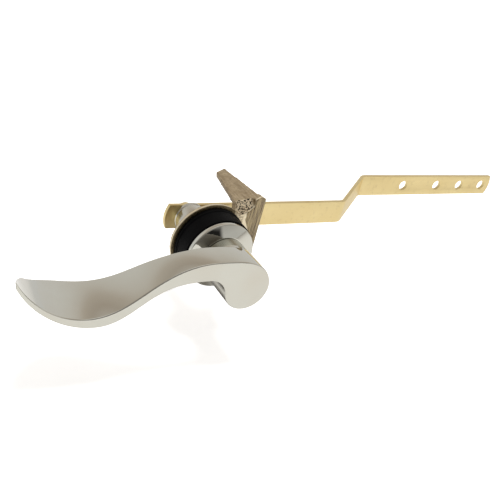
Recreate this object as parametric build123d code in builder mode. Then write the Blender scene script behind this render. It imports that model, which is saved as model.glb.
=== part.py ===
from build123d import *
import math
import os

# Cistern lever. The spindle's axis is Y through X = Z = 0 and +Y points into the tank.
# +X runs along the arm and +Z is up. Y = 0 is the back of the collar, where the gasket seats.
# All sizes are in millimetres.

# Clearances
running_clearance = 0.05  # spindle in the bushing, on radius
fit_clearance = 0.03  # pieces that are locked on the spindle, on each side
thread_clearance = 0.05  # nut and gasket on the shank, on radius
end_float = 0.3  # hub to collar, and shoulder to shank, along the axis
edge_break = 0.4  # small rounds and chamfers on turned and cut edges

# Collar bushing
collar_diameter = 32.8
collar_rim = 2.4
cone_height = 2.1
shank_diameter = 15.0
shank_length = 24.0

# Rubber gasket
gasket_diameter = 34.8
gasket_thickness = 10.6
gasket_lip = 2.6
gasket_step = 0.5

# Spindle
spindle_diameter = 9.0
shoulder_diameter = 15.6
shoulder_length = 9.1
square_size = 7.0
square_recess = 0.2  # the square stops this far short of the arm's back
flat_depth = 0.5

# Handle: hub
hub_diameter = 21.4
hub_length = 24.0
hub_bore_depth = 14.0
hub_fillet = 9.0  # concave round where the blade's underside meets the hub

# Handle: wave-shaped blade, heights above the axis and distances from it
tip_reach = 99.8
tip_height = 11.6
tip_angle = 62.0  # the blade's slope at its tip
trough_reach = 69.6
trough_height = -8.3
belly_reach = 66.0
rise_reach = 45.5
rise_height = 3.1
rise_angle = 38.0
crest_reach = 16.0
crest_height = 14.1
nose_angle = 25.0  # where the top runs into the hub's round, above the horizontal
wave_pull = 0.41  # how far each bend of the wave is felt, as a share of the run to the next one
tip_thickness = 2.6  # this and the next two are upright thicknesses
trough_thickness = 4.6
rise_thickness = 5.4
root_thickness = 8.9

# Handle: plan form, depths behind the flat front face
root_depth = 12.8
paddle_depth = 26.8
neck_reach = 24.0
sweep_reach = 49.5
sweep_depth = 19.2
paddle_reach = 74.0
corner_reach = 91.5
corner_depth = 18.3
tip_point = 28.0  # how far the plan form's end leans from square across the blade

# Handle set screw
set_screw_diameter = 5.0
set_screw_from_hub_back = 6.5
set_screw_sink = 0.6
set_screw_socket = 2.5
set_screw_socket_depth = 2.5

# Cast lock nut
nut_diameter = 37.6
nut_flange = 2.2
nut_boss_diameter = 25.0
nut_thickness = 8.4
ear_inner = 12.0
ear_outer = 29.8
ear_depth = 7.0
ear_bottom = -14.0
ear_corner_width = 4.2
ear_corner_drop = 2.4
ear_slope_start = 10.5  # height where the ear's front starts to slope back
ear_slope = 16.5
bevel_start = 17.3  # distance from the axis where the ear's side bevel starts
bevel_angle = 25.0
fin_centre = 18.5
fin_height = 19.4
fin_tilt = 10.5
fin_root_width = 15.4
fin_tip_width = 5.6
fin_length = 35.4
fin_tip_slant = 2.4
fin_thickness = 2.8
fin_scoop = 4.4  # radius of the hollow across the fin's root, at the front
fin_scoop_end = 3.2  # from the fin's middle to the hollow's end

# Arm
arm_width = 12.7
arm_thickness = 2.0
arm_heel = 12.4
arm_reach = 235.6
arm_end_round = 14.0
bend_reach = 93.0
joggle_run = 34.5
joggle_depth = 29.5
bend_radius = 6.0
chain_hole_diameter = 6.0
chain_hole_margin = 7.5  # the last hole's middle, from the arm's end
chain_pitch = 19.7
first_pitch = 27.7  # from the first hole to the evenly spaced ones
spaced_holes = 3

# Arm screw and its spring washer
arm_screw_diameter = 5.0
arm_screw_length = 12.0
arm_screw_head_diameter = 9.6
arm_screw_head_height = 3.4
arm_screw_slot = 1.3
arm_screw_slot_depth = 1.4
washer_diameter = 9.2
washer_thickness = 1.2
washer_gap = 1.4

# Places worked out from those sizes
collar_radius = collar_diameter / 2
hub_radius = hub_diameter / 2
shank_radius = shank_diameter / 2
journal_radius = spindle_diameter / 2
collar_front = -(collar_rim + cone_height)
hub_back = collar_front - end_float
handle_front = hub_back - hub_length
shoulder_front = shank_length + end_float
arm_front = shoulder_front + shoulder_length
arm_back = arm_front + arm_thickness
nut_front = gasket_thickness
set_screw_y = hub_back - set_screw_from_hub_back


def front_plane(y):
    """A plane across the axis, seen from the handle's side: local x is +X and local y is +Z."""
    return Plane(origin=(0, y, 0), x_dir=(1, 0, 0), z_dir=(0, -1, 0))


def below_plane(y, z):
    """A horizontal plane under the hub, facing down, with its origin under the axis."""
    return Plane(origin=(0, y, z), x_dir=(1, 0, 0), z_dir=(0, 0, -1))


# Bushing: a collar with a shallow cone face and the shank that goes through the tank wall
with BuildPart() as bushing:
    with BuildSketch(Plane.XY):
        with BuildLine():
            bore_radius = journal_radius + running_clearance
            Polyline(
                (bore_radius, collar_front),
                (hub_radius, collar_front),
                (collar_radius, -collar_rim),
                (collar_radius, 0),
                (shank_radius, 0),
                (shank_radius, shank_length),
                (bore_radius, shank_length),
                close=True,
            )
        make_face()
    revolve(axis=Axis.Y)
    rim_edges = bushing.edges().filter_by(GeomType.CIRCLE).sort_by(SortBy.RADIUS)[-2:]
    fillet(rim_edges, edge_break)
    shank_end = bushing.faces().sort_by(Axis.Y)[-1]
    chamfer(shank_end.edges().sort_by(SortBy.RADIUS)[-1], edge_break)

# Gasket: a thick rubber ring with a wider lip at the back
with BuildPart() as gasket:
    with BuildSketch(Plane.XY):
        with BuildLine():
            gasket_inner = shank_radius + thread_clearance
            gasket_outer = gasket_diameter / 2
            lip_start = gasket_thickness - gasket_lip
            Polyline(
                (gasket_inner, 0),
                (gasket_outer - gasket_step, 0),
                (gasket_outer - gasket_step, lip_start),
                (gasket_outer, lip_start + gasket_step),
                (gasket_outer, gasket_thickness),
                (gasket_inner, gasket_thickness),
                close=True,
            )
        make_face()
    revolve(axis=Axis.Y)
    front_rim = gasket.faces().sort_by(Axis.Y)[0].edges().sort_by(SortBy.RADIUS)[-1]
    back_rim = gasket.faces().sort_by(Axis.Y)[-1].edges().sort_by(SortBy.RADIUS)[-1]
    fillet([front_rim, back_rim], edge_break)

# Lock nut: a round cast body with an ear on one side and a tapered fin that points into the tank
fin_plane = Plane(
    origin=(fin_centre, nut_front, fin_height),
    x_dir=(math.cos(math.radians(fin_tilt)), 0, math.sin(math.radians(fin_tilt))),
    z_dir=(-math.sin(math.radians(fin_tilt)), 0, math.cos(math.radians(fin_tilt))),
)
scoop_plane = Plane(
    origin=fin_plane.origin + fin_plane.x_dir * fin_scoop_end,
    x_dir=(0, 1, 0),
    z_dir=fin_plane.x_dir,
)
bevel_plane = Plane(
    origin=(bevel_start, nut_front, 0),
    x_dir=(0, 0, 1),
    z_dir=(math.sin(math.radians(bevel_angle)), -math.cos(math.radians(bevel_angle)), 0),
)
slope_plane = Plane(
    origin=(0, nut_front, ear_slope_start),
    x_dir=(1, 0, 0),
    z_dir=(0, -math.cos(math.radians(ear_slope)), -math.sin(math.radians(ear_slope))),
)
with BuildPart() as lock_nut:
    with BuildSketch(front_plane(nut_front)):
        with BuildLine():
            corner_start = ear_outer - ear_corner_width
            corner_height = fin_height + (corner_start - fin_centre) * math.tan(math.radians(fin_tilt))
            inner_height = fin_height + (ear_inner - fin_centre) * math.tan(math.radians(fin_tilt))
            Polyline(
                (ear_inner, ear_bottom),
                (ear_outer, ear_bottom),
                (ear_outer, corner_height - ear_corner_drop),
                (corner_start, corner_height),
                (ear_inner, inner_height),
                close=True,
            )
        make_face()
    extrude(amount=-ear_depth)
    split(bisect_by=slope_plane, keep=Keep.BOTTOM)
    with BuildSketch(fin_plane):
        with BuildLine():
            Polyline(
                (-fin_root_width / 2, 0),
                (fin_root_width / 2, 0),
                (fin_tip_width / 2, fin_length),
                (-fin_tip_width / 2, fin_length - fin_tip_slant),
                close=True,
            )
        make_face()
    extrude(amount=-fin_thickness)
    split(bisect_by=bevel_plane, keep=Keep.BOTTOM)
    with BuildSketch(scoop_plane):
        Circle(fin_scoop)
    extrude(amount=-fin_root_width, mode=Mode.SUBTRACT)
    with BuildSketch(front_plane(nut_front)):
        Circle(nut_diameter / 2)
    extrude(amount=-nut_flange)
    with BuildSketch(front_plane(nut_front)):
        Circle(nut_boss_diameter / 2)
    extrude(amount=-nut_thickness)
    with BuildSketch(front_plane(nut_front)):
        Circle(shank_radius + thread_clearance)
    extrude(amount=-nut_thickness, mode=Mode.SUBTRACT)

# Spindle: journal, thrust shoulder and the square that carries the arm
with BuildPart() as spindle:
    journal_front = hub_back - hub_bore_depth + end_float
    with BuildSketch(front_plane(journal_front)):
        Circle(journal_radius)
    extrude(amount=-(shoulder_front - journal_front))
    with BuildSketch(front_plane(shoulder_front)):
        Circle(shoulder_diameter / 2)
    extrude(amount=-shoulder_length)
    shoulder_edges = spindle.edges().filter_by(GeomType.CIRCLE).sort_by(SortBy.RADIUS)[-2:]
    chamfer(shoulder_edges, edge_break)
    with BuildSketch(front_plane(arm_front)):
        Rectangle(square_size, square_size)
    extrude(amount=-(arm_thickness - square_recess))
    flat_width = set_screw_diameter + 2 * edge_break
    with BuildSketch(below_plane(set_screw_y, -journal_radius)):
        Rectangle(spindle_diameter, flat_width)
    extrude(amount=-flat_depth, mode=Mode.SUBTRACT)
    with BuildSketch(front_plane(arm_back)):
        Circle(arm_screw_diameter / 2 + fit_clearance)
    extrude(amount=arm_screw_length, mode=Mode.SUBTRACT)

# Handle: a wave profile seen from the front, cut to the plan form, with the hub behind it
def bend(start, start_angle, end, end_angle):
    """A smooth curve between two points of the wave, with its slope set at both ends."""
    pull = wave_pull * abs(end[0] - start[0])
    start_turn = math.radians(start_angle)
    end_turn = math.radians(end_angle)
    lead = (start[0] + pull * math.cos(start_turn), start[1] + pull * math.sin(start_turn))
    follow = (end[0] - pull * math.cos(end_turn), end[1] - pull * math.sin(end_turn))
    return Bezier(start, lead, follow, end)


def on_hub(angle):
    """The point of the hub's round at an angle above +X."""
    return (hub_radius * math.cos(math.radians(angle)), hub_radius * math.sin(math.radians(angle)))


with BuildPart() as handle:
    with BuildSketch(front_plane(handle_front)):
        with BuildLine():
            tip = (-tip_reach, tip_height)
            trough = (-trough_reach, trough_height)
            rise = (-rise_reach, rise_height)
            crest = (-crest_reach, crest_height)
            tip_below = (-tip_reach, tip_height - tip_thickness)
            belly = (-belly_reach, trough_height - trough_thickness)
            rise_below = (-rise_reach, rise_height - rise_thickness)
            root_underside = crest_height - root_thickness
            fillet_height = root_underside - hub_fillet
            fillet_reach = math.sqrt((hub_radius + hub_fillet) ** 2 - fillet_height**2)
            fillet_start = (-fillet_reach, root_underside)
            fillet_angle = math.degrees(math.atan2(fillet_height, -fillet_reach))
            overrun = tip_thickness / math.tan(math.radians(tip_angle))
            tip_end = (-tip_reach - overrun, tip_height + tip_thickness)
            bend(tip, -tip_angle, trough, 0)
            bend(trough, 0, rise, rise_angle)
            bend(rise, rise_angle, crest, 0)
            bend(crest, 0, on_hub(nose_angle), nose_angle - 90)
            hub_round = ThreePointArc(on_hub(nose_angle), on_hub(nose_angle - 90), on_hub(fillet_angle))
            TangentArc(on_hub(fillet_angle), fillet_start, tangent=hub_round % 1)
            bend(fillet_start, 180, rise_below, 180 + rise_angle)
            bend(rise_below, 180 + rise_angle, belly, 180)
            bend(belly, 180, tip_below, 180 - tip_angle)
            Polyline(tip_below, (tip_end[0], tip_height), tip_end, tip)
        make_face()
    extrude(amount=-paddle_depth)
    with BuildSketch(Plane.XY):
        with BuildLine():
            paddle_back = handle_front + paddle_depth
            root_back = handle_front + root_depth
            plan_end = hub_radius + root_thickness
            tip_tangent = (-math.sin(math.radians(tip_point)), -math.cos(math.radians(tip_point)))
            Polyline(
                (-tip_reach, handle_front),
                (plan_end, handle_front),
                (plan_end, root_back),
                (-neck_reach, root_back),
            )
            Spline(
                (-neck_reach, root_back),
                (-sweep_reach, handle_front + sweep_depth),
                (-paddle_reach, paddle_back),
                tangents=[(-1, 0), (-1, 0)],
            )
            Spline(
                (-paddle_reach, paddle_back),
                (-corner_reach, handle_front + corner_depth),
                (-tip_reach, handle_front),
                tangents=[(-1, 0), tip_tangent],
            )
        make_face()
    extrude(amount=tip_reach, both=True, mode=Mode.INTERSECT)
    with BuildSketch(front_plane(hub_back)):
        Circle(hub_radius)
    extrude(amount=hub_length - root_depth)
    hub_end = handle.faces().filter_by(Plane.XZ).sort_by(Axis.Y)[-1]
    fillet(hub_end.edges(), edge_break)
    with BuildSketch(front_plane(hub_back)):
        Circle(journal_radius + fit_clearance)
    extrude(amount=hub_bore_depth, mode=Mode.SUBTRACT)
    with BuildSketch(below_plane(set_screw_y, 0)):
        Circle(set_screw_diameter / 2 + fit_clearance)
    extrude(amount=hub_diameter, mode=Mode.SUBTRACT)

# Set screw: a socket grub screw that bears on the spindle's flat
with BuildPart() as set_screw:
    flat_height = -journal_radius + flat_depth
    set_screw_end = -hub_radius + set_screw_sink
    with BuildSketch(below_plane(set_screw_y, flat_height - fit_clearance)):
        Circle(set_screw_diameter / 2)
    extrude(amount=flat_height - fit_clearance - set_screw_end)
    with BuildSketch(below_plane(set_screw_y, set_screw_end)):
        RegularPolygon(set_screw_socket / 2, 6, major_radius=False)
    extrude(amount=-set_screw_socket_depth, mode=Mode.SUBTRACT)

# Arm: a brass strip with a joggle, rounded ends, a square hole and the chain holes
with BuildPart() as arm:
    with BuildSketch(Plane.XY):
        with BuildLine():
            strip_middle = arm_front + arm_thickness / 2
            FilletPolyline(
                (-arm_heel, strip_middle),
                (bend_reach, strip_middle),
                (bend_reach + joggle_run, strip_middle + joggle_depth),
                (arm_reach, strip_middle + joggle_depth),
                radius=bend_radius,
            )
        trace(line_width=arm_thickness)
    extrude(amount=arm_width / 2, both=True)
    with BuildSketch(front_plane(0)):
        with BuildLine():
            half_width = arm_width / 2
            end_rise = arm_end_round - math.sqrt(arm_end_round**2 - half_width**2)
            Line((-arm_heel + end_rise, half_width), (arm_reach - end_rise, half_width))
            ThreePointArc(
                (arm_reach - end_rise, half_width),
                (arm_reach, 0),
                (arm_reach - end_rise, -half_width),
            )
            Line((arm_reach - end_rise, -half_width), (-arm_heel + end_rise, -half_width))
            ThreePointArc(
                (-arm_heel + end_rise, -half_width),
                (-arm_heel, 0),
                (-arm_heel + end_rise, half_width),
            )
        make_face()
    extrude(amount=-(arm_back + joggle_depth + arm_thickness), mode=Mode.INTERSECT)
    with BuildSketch(front_plane(arm_front)):
        Rectangle(square_size + 2 * fit_clearance, square_size + 2 * fit_clearance)
    extrude(amount=-arm_thickness, mode=Mode.SUBTRACT)
    with BuildSketch(front_plane(arm_front + joggle_depth)):
        last_hole = arm_reach - chain_hole_margin
        hole_places = [(last_hole - number * chain_pitch, 0) for number in range(spaced_holes)]
        hole_places.append((hole_places[-1][0] - first_pitch, 0))
        with Locations(*hole_places):
            Circle(chain_hole_diameter / 2)
    extrude(amount=-arm_thickness, mode=Mode.SUBTRACT)

# Arm washer: a split spring washer under the screw's head
with BuildPart() as arm_washer:
    with BuildSketch(front_plane(arm_back)):
        Circle(washer_diameter / 2)
        Circle(arm_screw_diameter / 2 + fit_clearance, mode=Mode.SUBTRACT)
        with Locations((0, washer_diameter / 2)):
            Rectangle(washer_gap, washer_diameter, mode=Mode.SUBTRACT)
    extrude(amount=-washer_thickness)

# Arm screw: a slotted pan head behind the arm
with BuildPart() as arm_screw:
    head_front = arm_back + washer_thickness
    screw_tip = head_front - arm_screw_length + edge_break
    with BuildSketch(front_plane(head_front)):
        Circle(arm_screw_head_diameter / 2)
    extrude(amount=-arm_screw_head_height)
    fillet(arm_screw.faces().sort_by(Axis.Y)[-1].edges(), arm_screw_head_height / 3)
    with BuildSketch(front_plane(screw_tip)):
        Circle(arm_screw_diameter / 2)
    extrude(amount=-(head_front - screw_tip))
    with BuildSketch(front_plane(head_front + arm_screw_head_height)):
        Rectangle(arm_screw_head_diameter, arm_screw_slot)
    extrude(amount=arm_screw_slot_depth, mode=Mode.SUBTRACT)

# Write each piece to its own file
os.makedirs("parts", exist_ok=True)
handle.part.label = "handle"
export_step(handle.part, "parts/handle.step")
set_screw.part.label = "set_screw"
export_step(set_screw.part, "parts/set_screw.step")
spindle.part.label = "spindle"
export_step(spindle.part, "parts/spindle.step")
bushing.part.label = "bushing"
export_step(bushing.part, "parts/bushing.step")
gasket.part.label = "gasket"
export_step(gasket.part, "parts/gasket.step")
lock_nut.part.label = "lock_nut"
export_step(lock_nut.part, "parts/lock_nut.step")
arm.part.label = "arm"
export_step(arm.part, "parts/arm.step")
arm_washer.part.label = "arm_washer"
export_step(arm_washer.part, "parts/arm_washer.step")
arm_screw.part.label = "arm_screw"
export_step(arm_screw.part, "parts/arm_screw.step")
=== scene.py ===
import math

import bmesh
import bpy
import numpy as np
from mathutils import Matrix, Vector, noise


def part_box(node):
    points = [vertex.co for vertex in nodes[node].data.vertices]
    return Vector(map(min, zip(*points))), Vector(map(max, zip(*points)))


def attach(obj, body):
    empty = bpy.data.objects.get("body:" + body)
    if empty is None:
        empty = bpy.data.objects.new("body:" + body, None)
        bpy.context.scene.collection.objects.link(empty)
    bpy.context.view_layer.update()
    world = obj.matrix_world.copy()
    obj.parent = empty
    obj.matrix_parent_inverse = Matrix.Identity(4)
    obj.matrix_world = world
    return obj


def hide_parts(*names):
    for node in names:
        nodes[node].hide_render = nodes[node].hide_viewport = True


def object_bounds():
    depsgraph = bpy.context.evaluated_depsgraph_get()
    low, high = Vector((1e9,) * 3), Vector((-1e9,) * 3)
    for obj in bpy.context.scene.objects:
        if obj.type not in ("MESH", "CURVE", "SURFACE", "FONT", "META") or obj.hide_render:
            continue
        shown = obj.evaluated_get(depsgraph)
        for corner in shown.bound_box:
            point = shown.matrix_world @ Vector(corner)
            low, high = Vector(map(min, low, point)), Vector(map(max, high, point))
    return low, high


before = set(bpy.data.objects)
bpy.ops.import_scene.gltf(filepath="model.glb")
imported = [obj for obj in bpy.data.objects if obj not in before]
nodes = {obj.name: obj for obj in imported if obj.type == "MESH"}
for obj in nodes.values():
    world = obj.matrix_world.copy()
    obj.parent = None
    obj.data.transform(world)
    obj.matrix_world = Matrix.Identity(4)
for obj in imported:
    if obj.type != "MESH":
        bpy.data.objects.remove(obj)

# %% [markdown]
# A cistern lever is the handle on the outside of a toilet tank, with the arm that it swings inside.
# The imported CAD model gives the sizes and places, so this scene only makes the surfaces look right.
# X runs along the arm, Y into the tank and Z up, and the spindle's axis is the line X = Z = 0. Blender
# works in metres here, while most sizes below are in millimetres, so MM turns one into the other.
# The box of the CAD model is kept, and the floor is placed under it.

MM = 0.001
cad_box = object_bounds()
scene = bpy.context.scene
print("CAD box", [round(v, 4) for corner in cad_box for v in corner])

# %% [markdown]
# Most pieces are built point by point with bmesh and then go the same way. The bmesh becomes a mesh,
# its shading is smoothed but for sharp edges, and it gets a finish.

# %% Mesh helpers
def placed(name, data):
    """A new object in the scene that holds a mesh, a light or a camera."""
    made = bpy.data.objects.new(name, data)
    scene.collection.objects.link(made)
    return made


def new_piece(name, mesh, body, replaced):
    """Puts a finished mesh on its body and lets it stand for a CAD node."""
    piece = placed(name, mesh)
    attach(piece, body)
    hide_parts(replaced)
    print(name, "has", len(mesh.polygons), "faces")


def mesh_from(name, bm):
    """Turns a bmesh into a mesh with outward normals."""
    bmesh.ops.recalc_face_normals(bm, faces=bm.faces)
    mesh = bpy.data.meshes.new(name)
    bm.to_mesh(mesh)
    bm.free()
    return mesh


def coat(mesh, sharp_degrees, material=None):
    """Smooth shading with edges sharper than the angle kept crisp, and a finish."""
    mesh.polygons.foreach_set("use_smooth", [True] * len(mesh.polygons))
    mesh.set_sharp_from_angle(angle=math.radians(sharp_degrees))
    if material:
        mesh.materials.append(material)


def taken(piece):
    """A plain copy of an object's mesh after its modifiers. The object itself is removed."""
    graph = bpy.context.evaluated_depsgraph_get()
    mesh = bpy.data.meshes.new_from_object(piece.evaluated_get(graph))
    bpy.data.objects.remove(piece)
    return mesh


print("mesh helpers are ready for", scene.name)

# %% [markdown]
# Finishes and Geometry Nodes are both trees of nodes. One helper adds a node, sets its options and
# feeds its inputs, each with a plain value or with the output of another node. With it a tree reads
# like a recipe, from the first node to the last.

# %% Node helpers
def feed(tree, socket, value):
    """Gives an input a plain value or a link from an output. A node stands for its first output."""
    if isinstance(value, bpy.types.Node):
        value = value.outputs[0]
    if isinstance(value, bpy.types.NodeSocket):
        tree.links.new(value, socket)
    else:
        socket.default_value = value


def add(tree, kind, inputs=None, **options):
    """Adds a node. A list as an input links several nodes to the one socket."""
    node = tree.nodes.new(kind)
    for name, value in options.items():
        setattr(node, name, value)
    for name, value in (inputs or {}).items():
        for one in value if isinstance(value, list) else [value]:
            feed(tree, node.inputs[name], one)
    return node


def span(tree, value, low, high, start=0.0, end=1.0, way="LINEAR"):
    """Carries a value from start..end to low..high."""
    ends = {"From Min": start, "From Max": end, "To Min": low, "To Max": high}
    node = add(tree, "ShaderNodeMapRange", {"Value": value, **ends}, interpolation_type=way)
    return node.outputs["Result"]


def calc(tree, operation, first, second):
    """One step of arithmetic on two values."""
    return add(tree, "ShaderNodeMath", {0: first, 1: second}, operation=operation).outputs["Value"]


def vector_calc(tree, operation, first, second, output):
    """One step of arithmetic on two vectors."""
    return add(tree, "ShaderNodeVectorMath", {0: first, 1: second}, operation=operation).outputs[output]


def mix(tree, kind, factor, first, second):
    """A number or a colour that goes from the first to the second by a factor."""
    inputs = {"Factor": factor, "A": first, "B": second}
    return add(tree, "ShaderNodeMix", inputs, data_type=kind).outputs["Result"]


def group_inputs(tree, defaults):
    """Gives a node group its named inputs, and returns the identifier of each."""
    kinds = {float: "NodeSocketFloat", tuple: "NodeSocketVector", type(None): "NodeSocketMaterial"}
    identifiers = {}
    for name, value in defaults.items():
        socket = tree.interface.new_socket(name=name, in_out="INPUT", socket_type=kinds[type(value)])
        if value is not None:
            socket.default_value = value
        identifiers[name] = socket.identifier
    return identifiers


print("node helpers are ready in Blender", bpy.app.version_string)

# %% [markdown]
# Metals look the way they do because of small things: polishing marks, thin tarnish, pits. Several
# finishes here share the same two effects, so each effect is a shader node group with its own inputs.
# The first gives soft cloudy patches, and the second gives fine lines that run one way, as from a
# polishing wheel or a rolling mill.

# %% Shared effects as shader node groups
CLOUD_DETAIL = 4.0
LINE_DETAIL = 3.0


def new_effect(name, inputs, output):
    """A shader node group with its sockets, the outputs of its input node and the object's coordinates."""
    group = bpy.data.node_groups.new(name, "ShaderNodeTree")
    group_inputs(group, inputs)
    group.interface.new_socket(name=output, in_out="OUTPUT", socket_type="NodeSocketFloat")
    given = add(group, "NodeGroupInput").outputs
    return group, given, add(group, "ShaderNodeTexCoord").outputs["Object"]


def patches_group():
    group, given, place = new_effect("soft_patches", {"Scale": 40.0, "Low": 0.35, "High": 0.65}, "Patch")
    cloud = add(group, "ShaderNodeTexNoise", {
        "Vector": place, "Scale": given["Scale"], "Detail": CLOUD_DETAIL,
    })
    spread = span(group, cloud.outputs["Fac"], 0.0, 1.0, given["Low"], given["High"])
    add(group, "NodeGroupOutput", {"Patch": spread})
    return group


def lines_group():
    group, given, place = new_effect("fine_lines", {"Stretch": (60.0, 2500.0, 2500.0)}, "Line")
    stretched = vector_calc(group, "MULTIPLY", place, given["Stretch"], "Vector")
    grain = add(group, "ShaderNodeTexNoise", {"Vector": stretched, "Scale": 1.0, "Detail": LINE_DETAIL})
    add(group, "NodeGroupOutput", {"Line": grain.outputs["Fac"]})
    return group


soft_patches = patches_group()
fine_lines = lines_group()
print("shader groups", soft_patches.name, fine_lines.name)

# %% [markdown]
# Every finish below is one Principled shader, the general surface in Blender, with effects wired to
# its colour, its roughness and its bump. A small class keeps the material and its tree together.

# %% A finish
class Finish:
    """A material with one Principled BSDF and short helpers to wire it up."""

    def __init__(self, name):
        self.material = bpy.data.materials.new(name)
        self.material.use_nodes = True
        self.tree = self.material.node_tree
        self.shader = self.tree.nodes["Principled BSDF"]

    def look(self, name, value):
        """Sets or links one input of the shader."""
        feed(self.tree, self.shader.inputs[name], value)

    def patches(self, scale, low, high):
        values = {"Scale": scale, "Low": low, "High": high}
        return add(self.tree, "ShaderNodeGroup", values, node_tree=soft_patches).outputs["Patch"]

    def lines(self, *stretch):
        return add(self.tree, "ShaderNodeGroup", {"Stretch": stretch}, node_tree=fine_lines).outputs["Line"]

    def blend(self, factor, *colours):
        """A colour that goes from the first to the second by a factor."""
        ends = [c if isinstance(c, bpy.types.NodeSocket) else (*c, 1.0) for c in colours]
        return mix(self.tree, "RGBA", factor, *ends)

    def span(self, value, low, high, start=0.0, end=1.0):
        return span(self.tree, value, low, high, start, end)

    def calc(self, operation, first, second):
        return calc(self.tree, operation, first, second)

    def bump(self, height, distance, strength=1.0):
        inputs = {"Height": height, "Distance": distance, "Strength": strength}
        self.look("Normal", add(self.tree, "ShaderNodeBump", inputs).outputs["Normal"])


print("a finish can use", soft_patches.name, "and", fine_lines.name)

# %% [markdown]
# The handle, the collar and the spindle are brass castings and turnings under polished nickel.
# Nickel is a little warmer than chrome. It shows broad, slightly brown clouds where the plate is
# thin, and very fine polishing marks that only blur the reflections. Faces that look into the tank
# lie in the shade between the handle and the gasket, so a mask on the normal gives them painted
# shade, a dark colour, and makes them duller. The collar is polished like a mirror, and the spindle
# is plated over its turning marks, so it is satin.

# %% Polished nickel
NICKEL_CLEAR = (0.68, 0.68, 0.612)
NICKEL_THIN = (0.655, 0.63, 0.55)
# Painted shade: the dark colour for faces that look into the tank, which lie in the part's own shade.
NICKEL_BACK_SHADE = (0.25, 0.238, 0.218)
BACK_SHADE_FACING = (0.55, 0.85)
BACK_ROUGHER = 0.3
POLISH_DEPTH = 0.004 * MM


def nickel_finish(name, smoothest, dullest):
    finish = Finish(name)
    normal = add(finish.tree, "ShaderNodeNewGeometry").outputs["Normal"]
    inward = add(finish.tree, "ShaderNodeSeparateXYZ", {"Vector": normal}).outputs["Y"]
    # A mask on the normal picks the faces that look into the tank, for painted shade and a duller polish.
    back_shade = finish.span(inward, 0.0, 1.0, *BACK_SHADE_FACING)
    bright = finish.blend(finish.patches(28.0, 0.38, 0.66), NICKEL_CLEAR, NICKEL_THIN)
    finish.look("Base Color", finish.blend(back_shade, bright, NICKEL_BACK_SHADE))
    finish.look("Metallic", 1.0)
    polish = finish.span(finish.patches(140.0, 0.3, 0.7), smoothest, dullest)
    finish.look("Roughness", finish.calc("ADD", polish, finish.calc("MULTIPLY", back_shade, BACK_ROUGHER)))
    finish.bump(finish.lines(150.0, 1800.0, 5200.0), POLISH_DEPTH)
    return finish.material


polished_nickel = nickel_finish("polished_nickel", 0.06, 0.1)
mirror_nickel = nickel_finish("mirror_nickel", 0.02, 0.04)
satin_nickel = nickel_finish("satin_nickel", 0.15, 0.24)
print("made", polished_nickel.name, mirror_nickel.name, satin_nickel.name)

# %% [markdown]
# The arm is rolled brass strip that was tumbled clean but never polished, so it is satin, pale gold,
# with mill lines along its length and a few duller spots.

# %% Rolled brass strip
STRIP_PALE = (0.88, 0.73, 0.385)
STRIP_DEEP = (0.83, 0.67, 0.335)
STRIP_SPOT = (0.52, 0.39, 0.19)
SPOT_SHARE = 0.35
MILL_DEPTH = 0.02 * MM


def strip_finish():
    finish = Finish("rolled_brass")
    mill = finish.lines(45.0, 900.0, 2600.0)
    base = finish.blend(finish.patches(60.0, 0.35, 0.7), STRIP_PALE, STRIP_DEEP)
    spots = finish.calc("MULTIPLY", finish.patches(420.0, 0.56, 0.78), SPOT_SHARE)
    finish.look("Base Color", finish.blend(spots, base, STRIP_SPOT))
    finish.look("Metallic", 1.0)
    finish.look("Roughness", finish.span(mill, 0.3, 0.44, 0.3, 0.7))
    finish.bump(mill, MILL_DEPTH, 0.6)
    return finish.material


rolled_brass = strip_finish()
print("made", rolled_brass.name)

# %% [markdown]
# The nut is a sand casting with a long ear. The ear's bevel was ground bright, the front of the nut is
# paler, and the hollow at the fin's root is full of pits, whose near-black colour is painted shade. The
# rim and the edge beside the bevel also get painted light. Each of these places has a simple form: a
# plane, a depth or a round scoop. So the finish finds them from the coordinates, and nothing has to be
# painted by hand.

# %% Places on the nut
BEVEL_ANGLE = math.radians(25.0)
BEVEL_START = 17.3 * MM
NUT_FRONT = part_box("lock_nut")[0].y
FIN_TILT = math.radians(10.5)
SCOOP_RADIUS = 4.4 * MM
SCOOP_PLACE = Vector((18.5 * MM, NUT_FRONT, 19.4 * MM))
SCOOP_AXIS = Vector((math.cos(FIN_TILT), 0.0, math.sin(FIN_TILT)))
bevel_normal = Vector((math.sin(BEVEL_ANGLE), -math.cos(BEVEL_ANGLE), 0.0))
bevel_offset = bevel_normal.dot(Vector((BEVEL_START, NUT_FRONT, 0.0)))


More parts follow.
